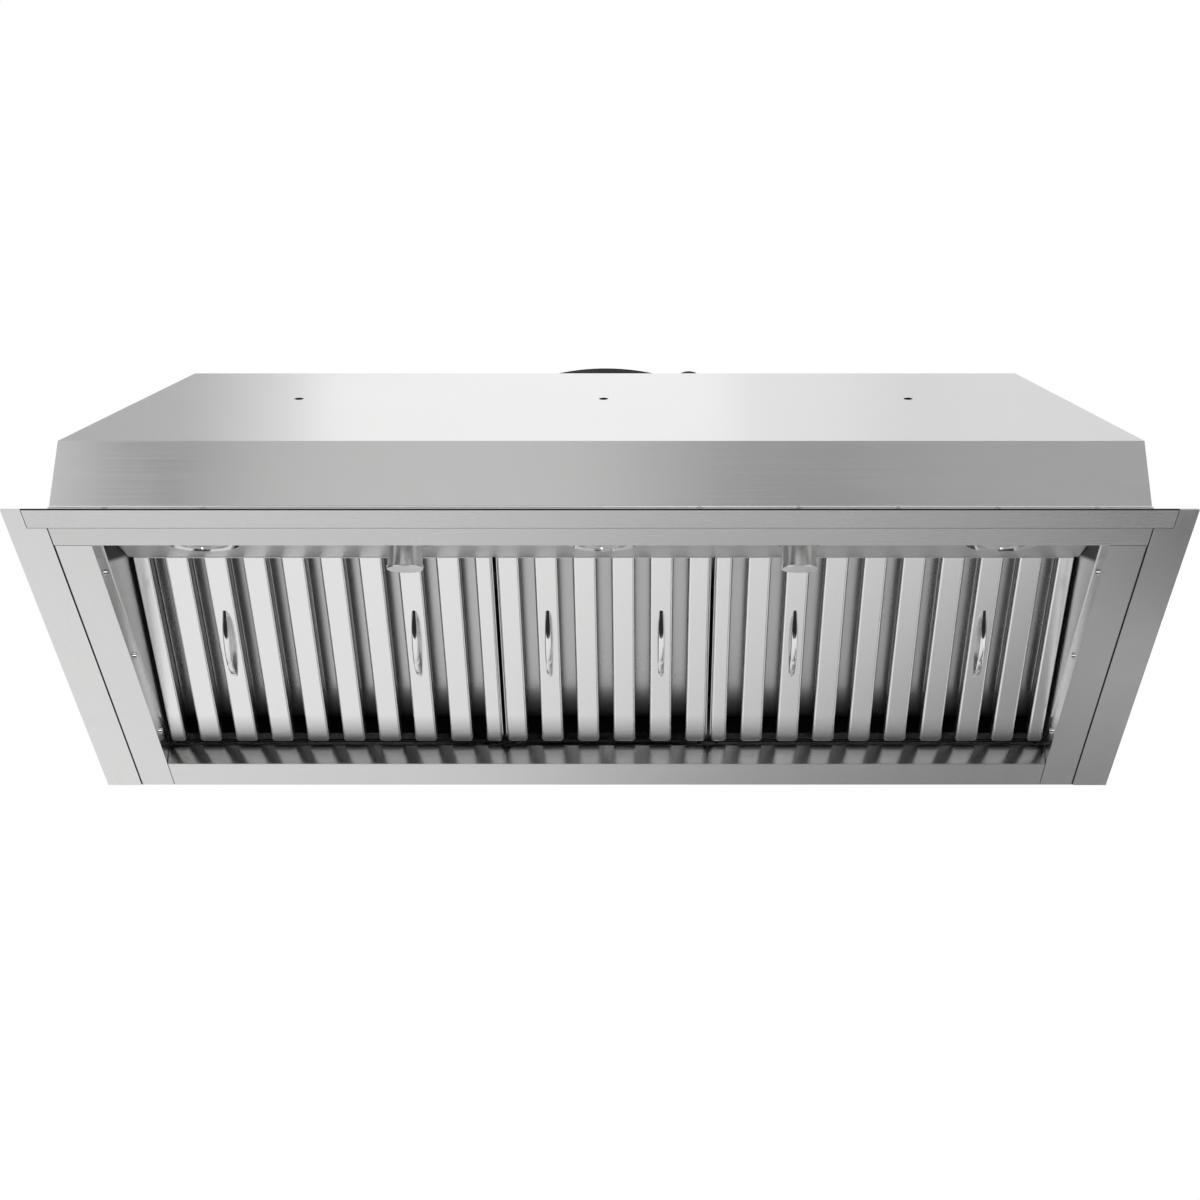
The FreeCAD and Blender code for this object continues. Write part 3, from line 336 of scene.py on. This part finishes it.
dress("casing", "front_panel", "rear_panel", "top_panel", "left_side_panel", "right_side_panel")
dress("trim_front", "front_trim")
dress("trim_side", "left_trim", "right_trim")
dress("strip_front", "front_base_strip")
dress("lamp_panel", "lamp_panel")
dress("rear_strip", "rear_base_strip")
dress("strip_side", "left_base_strip", "right_base_strip")
for place in PLACES:
    dress("bar", place + "_filter_lower_baffles")
    dress("frame", place + "_filter_frame")
    dress("trough", place + "_filter_upper_baffles")
    dress("handle", place + "_filter_handles")
    dress("bezel", place + "_lamp_bezel")
    dress("glass", place + "_lamp_lens")
    dress("lamp_body", place + "_lamp_module")
for use in ("fan", "light"):
    dress("knob", use + "_knob")
    dress("screw", use + "_spindle")
    dress("plastic", use + "_switch")
dress("knob", "knob_rings")
dress("screw", "trim_screws", "wall_screws", "collar_screws", "damper_spindle", "motor_shaft")
dress("rod", "filter_hinge_rod")
dress("trough", "filter_catches")
dress("collar", "duct_collar")
dress("damper", "front_damper_flap", "rear_damper_flap", "blower_wheel")
dress("zinc", "blower_scroll", "blower_inlet_rings", "motor_bracket", "junction_box", "junction_box_cover")
dress("motor", "blower_motor")
dress("plastic", "lamp_driver", "cable_gland")


# Softened edges
def soften(width, *names):
    """Round the sharp edges of folded sheet and turned pieces."""
    for name in names:
        bevel = nodes[name].modifiers.new("edge", "BEVEL")
        bevel.width = width
        bevel.segments = 2
        bevel.limit_method = "ANGLE"
        bevel.angle_limit = math.radians(40)
        bevel.harden_normals = False


soften(0.4 * MM, "front_trim")
soften(0.7 * MM, "left_trim", "right_trim")
soften(0.7 * MM, "front_base_strip", "left_base_strip", "right_base_strip")
for place in PLACES:
    soften(0.8 * MM, place + "_lamp_bezel")
soften(0.5 * MM, "knob_rings")
soften(1.8 * MM, "fan_knob", "light_knob")


# New pieces
def loft(name, rings, material, body, hidden=None):
    """Closed smooth skin through rings of points."""
    mesh = bpy.data.meshes.new(name)
    shape = bmesh.new()
    rows = [[shape.verts.new(point) for point in ring] for ring in rings]
    for first, second in zip(rows, rows[1:]):
        for index in range(len(first)):
            after = (index + 1) % len(first)
            shape.faces.new((first[index], first[after], second[after], second[index]))
    shape.faces.new(list(reversed(rows[0])))
    shape.faces.new(rows[-1])
    bmesh.ops.recalc_face_normals(shape, faces=shape.faces)
    for face in shape.faces:
        face.smooth = True
    shape.to_mesh(mesh)
    shape.free()
    piece = bpy.data.objects.new(name, mesh)
    scene.collection.objects.link(piece)
    mesh.materials.append(MATERIALS[material])
    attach(piece, body)
    if hidden:
        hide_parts(hidden)


# Rolled edges of the front trim and the side walls
BEAD_SIDES = 14
DOME_ANGLES = (10, 40, 70, 90)
BEAD_RADIUS = 1.3 * MM
BEAD_AHEAD = 1.2 * MM
HEM_RADIUS = 0.9 * MM
HEM_INSET = 0.3 * MM
HEM_FRONT = 30 * MM
HEM_REAR = 60 * MM


def bead(name, start, end, radius, material):
    """Rolled edge along x or y with domed ends."""
    start, end = Vector(start), Vector(end)
    run = (end - start).normalized()
    side = run.cross(Vector(Z))
    angles = [math.radians(angle) for angle in DOME_ANGLES]
    dome = [(radius * (1 - math.cos(angle)), math.sin(angle)) for angle in angles]
    stations = [(start + run * step, share) for step, share in dome]
    stations += [(end - run * step, share) for step, share in reversed(dome)]
    turns = [2 * math.pi * index / BEAD_SIDES for index in range(BEAD_SIDES)]
    rings = []
    for place, share in stations:
        reach = radius * share
        rings.append([place + reach * (side * math.cos(t) + Vector(Z) * math.sin(t)) for t in turns])
    loft(name, rings, material, "hood")


panel_low, panel_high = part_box("front_panel")
bead_line = (panel_low[1] - BEAD_AHEAD, trim_high[2])
bead("front_trim_bead", (panel_low[0], *bead_line), (panel_high[0], *bead_line), BEAD_RADIUS, "screw")
hem_start = strip_low[1] + HEM_FRONT
hem_end = bar_rear - HEM_REAR
for sign, side in SIDES:
    x = sign * (strip_low[0] - HEM_INSET)
    bead(side + "_wall_hem", (x, hem_start, HEM_HEIGHT), (x, hem_end, HEM_HEIGHT), HEM_RADIUS, "hem")


# Filter handles: crowned bows in place of the flat strips
FILTER_UNDERSIDE = -5.5 * MM
HANDLE_MIDDLE = -176.35 * MM
HANDLE_SPAN = 56 * MM
HANDLE_BOW = 18 * MM
HANDLE_SINK = 1.5 * MM
HANDLE_HALF_WIDTH = 3.5 * MM
HANDLE_HALF_DEPTH = 1.2 * MM
WIDTH_TAPER = 0.35
DEPTH_TAPER = 0.3
HANDLE_STEPS = 40
HANDLE_SIDES = 16


def handle_rings(x, hinge):
    """Rings of a bow with a rounded section, widest in the middle, whose ends sink into the bar."""
    radius = (HANDLE_SPAN ** 2 + HANDLE_BOW ** 2) / (2 * HANDLE_BOW)
    reach = math.acos((radius - HANDLE_BOW - HANDLE_SINK) / radius)
    rings = []
    for step in range(HANDLE_STEPS + 1):
        share = 2 * step / HANDLE_STEPS - 1
        turn = reach * share
        half_width = HANDLE_HALF_WIDTH * (1 - WIDTH_TAPER * share * share)
        half_depth = HANDLE_HALF_DEPTH * (1 - DEPTH_TAPER * share * share)
        ring = []
        for index in range(HANDLE_SIDES):
            round_turn = 2 * math.pi * index / HANDLE_SIDES
            across = half_width * math.cos(round_turn)
            out = radius - half_depth + half_depth * math.sin(round_turn)
            local_y = HANDLE_MIDDLE + out * math.sin(turn)
            local_z = FILTER_UNDERSIDE - HANDLE_BOW + radius - out * math.cos(turn)
            y = hinge[1] + local_y * math.cos(FILTER_SLOPE) + local_z * math.sin(FILTER_SLOPE)
            z = hinge[2] - local_y * math.sin(FILTER_SLOPE) + local_z * math.cos(FILTER_SLOPE)
            ring.append((x + across, y, z))
        rings.append(ring)
    return rings


hinges = {joint["child"]: joint["pos_m"] for joint in frame["record"]["behaviour"]["joints"]}
for place in PLACES:
    body = place + "_filter"
    strips = place + "_filter_handles"
    strips_low, strips_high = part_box(strips)
    offset = (strips_high[0] - strips_low[0]) / 2 - HANDLE_HALF_WIDTH
    for sign, side in SIDES:
        rings = handle_rings(hinges[body][0] + sign * offset, hinges[body])
        loft("%s_filter_%s_handle" % (place, side), rings, "handle", body, strips)


# Studio: pale floor far below, white world, soft lamps and cards for the metal to mirror
def stage_plane(name, centre, size, turn, tones):
    """Matt board whose tones run along x: each is a place from 0 to 1 and a tone."""
    bpy.ops.mesh.primitive_plane_add(size=1, location=centre, rotation=[math.radians(a) for a in turn])
    plane = bpy.context.object
    plane.name = name
    plane.scale = (size[0], size[1], 1)
    mat, tree, shader = new_material(name + "_paint")
    ramp = tree.nodes.new("ShaderNodeValToRGB")
    stops = ramp.color_ramp.elements
    stops.remove(stops[1])
    stops[0].position = 0
    for place, tone in tones:
        stop = stops[0] if place == 0 else stops.new(place)
        stop.color = (tone, tone, tone, 1)
    tree.links.new(spread(tree, along(tree, X), 0, 1, -0.5, 0.5), ramp.inputs["Fac"])
    tree.links.new(ramp.outputs["Color"], shader.inputs["Base Color"])
    shader.inputs["Roughness"].default_value = 0.8
    shader.inputs["Specular IOR Level"].default_value = 0.1
    plane.data.materials.append(mat)
    return plane


def clear_from_below(plane):
    """Let a camera under the floor see the underside of the hood."""
    tree = plane.data.materials[0].node_tree
    side = tree.nodes.new("ShaderNodeNewGeometry")
    clear = tree.nodes.new("ShaderNodeBsdfTransparent")
    choice = tree.nodes.new("ShaderNodeMixShader")
    tree.links.new(side.outputs["Backfacing"], choice.inputs[0])
    tree.links.new(tree.nodes["Principled BSDF"].outputs[0], choice.inputs[1])
    tree.links.new(clear.outputs[0], choice.inputs[2])
    tree.links.new(choice.outputs[0], tree.nodes["Material Output"].inputs["Surface"])


def card(name, centre, size, turn, tones):
    """Board out of the picture that only reflections see."""
    board = stage_plane(name, centre, size, turn, tones)
    board.visible_camera = False
    board.visible_diffuse = False
    return board


def low_card(name, centre, size, turn, tones):
    """Card that casts no shadow, so the floor keeps its light."""
    card(name, centre, size, turn, tones).visible_shadow = False


def upper_cards():
    """Cards that the casing mirrors."""
    card("front_card", centre=(0, -4.0, 2.6), size=(4.0, 2.4), turn=(90, 0, 0), tones=[
        (0, 0.95), (0.09, 0.92), (0.13, 0.55), (0.15, 0.06), (0.19, 0.06), (0.22, 0.55), (0.26, 0.64),
        (0.505, 0.65), (0.54, 0.36), (0.60, 0.27), (0.67, 0.33), (0.74, 0.42), (0.80, 0.46), (0.86, 0.38),
        (1, 0.40),
    ])
    card("top_card_left", centre=(-1.72, 1.3, 3.2), size=(2.0, 2.4), turn=(180, 0, 0), tones=[
        (0, 0.5), (0.85, 0.55), (1, 0.98),
    ])
    card("top_card_right", centre=(1.45, 1.3, 3.2), size=(2.4, 2.4), turn=(180, 0, 0), tones=[
        (0, 0.99), (0.10, 0.97), (0.17, 0.86), (0.26, 0.90), (1, 0.80),
    ])
    low_card("sky_card", centre=(0, -2.5, 3.4), size=(8.0, 4.8), turn=(0, 0, 0), tones=[
        (0, 0.45), (0.5, 0.70), (1, 0.50),
    ])
    for sign, side in SIDES:
        centre = (sign * 2.9, -0.2, 3.0)
        low_card(side + "_side_card", centre, size=(5.0, 3.2), turn=(sign * 45, 0, 90), tones=[
            (0, 0.35), (0.45, 0.75), (1, 0.50),
        ])


def lower_cards():
    """Cards that the trims, strips, bars and knobs mirror."""
    low_card("rear_card", centre=(0, 3.4, -1.4), size=(4.0, 2.0), turn=(90, 0, 0), tones=[
        (0, 0.90), (0.20, 0.84), (0.40, 0.74), (0.49, 0.55), (0.53, 0.45), (0.57, 0.37), (0.64, 0.32),
        (0.70, 0.26), (0.80, 0.22), (1, 0.10),
    ])
    low_card("glow_card", centre=(1.25, 3.3, -1.82), size=(0.7, 0.28), turn=(90, 0, 0), tones=[
        (0, 0.20), (0.35, 0.60), (0.75, 0.66), (1, 0.10),
    ])
    low_card("far_card", centre=(0, 3.0, -2.2), size=(4.0, 0.8), turn=(0, 0, 0), tones=[
        (0, 0.74), (0.25, 0.70), (0.50, 0.68), (0.62, 0.72), (0.72, 0.76), (0.78, 0.42), (0.83, 0.03),
        (1, 0.02),
    ])
    low_card("near_card", centre=(0, 1.95, -2.3), size=(2.6, 3.0), turn=(0, 0, 45), tones=[
        (0, 0.84), (0.32, 0.83), (0.40, 0.78), (0.46, 0.75), (0.54, 0.66), (0.61, 0.64), (0.69, 0.34),
        (1, 0.05),
    ])
    low_card("under_card", centre=(0, -1.5, -2.3), size=(5.0, 3.6), turn=(0, 0, 0), tones=[(0, 0.02)])
    low_card("right_card", centre=(2.7, 1.6, -1.2), size=(4.0, 2.4), turn=(90, 0, 90), tones=[(0, 0.45)])
    low_card("left_card", centre=(-2.7, 2.2, -1.2), size=(5.0, 2.4), turn=(90, 0, 90), tones=[(0, 0.02)])


def soft_lamp(name, place, aim, size, power):
    data = bpy.data.lights.new(name, "AREA")
    data.shape = "RECTANGLE"
    data.size, data.size_y = size
    data.energy = power
    lamp = bpy.data.objects.new(name, data)
    lamp.location = place
    lamp.rotation_euler = (Vector(aim) - Vector(place)).to_track_quat("-Z", "Y").to_euler()
    scene.collection.objects.link(lamp)


def white_world():
    """World that is white to the eye and in mirrors, and a little darker as a light."""
    world = bpy.data.worlds.new("studio")
    scene.world = world
    world.use_nodes = True
    tree = world.node_tree
    path = tree.nodes.new("ShaderNodeLightPath")
    seen = path.outputs["Is Camera Ray"]
    for name in ("Is Glossy Ray", "Is Transmission Ray"):
        seen = combine(tree, "MAXIMUM", seen, path.outputs[name])
    back = tree.nodes["Background"]
    back.inputs["Color"].default_value = (1, 1, 1, 1)
    tree.links.new(spread(tree, seen, 0.95, 1.0, 0, 1), back.inputs["Strength"])


def camera():
    data = bpy.data.cameras.new("camera")
    data.sensor_width = 36
    data.lens = 78.84
    data.shift_x = -0.0358
    data.shift_y = 0.00083
    data.clip_end = 100
    eye = bpy.data.objects.new("camera", data)
    eye.location = (0.042, -2.466, -1.366)
    eye.rotation_euler = (math.radians(120.29), 0, 0)
    scene.collection.objects.link(eye)
    scene.camera = eye


clear_from_below(stage_plane("floor", centre=(0, 0, -2.4), size=(24, 24), turn=(0, 0, 0), tones=[(0, 0.9)]))
upper_cards()
lower_cards()
soft_lamp("key_lamp", place=(-2.6, -2.4, 2.6), aim=(0, 0, 0.1), size=(2.5, 2.5), power=10)
soft_lamp("front_lamp", place=(0.2, -2.6, -1.7), aim=(0, 0, 0.03), size=(0.4, 0.4), power=6)
white_world()
camera()
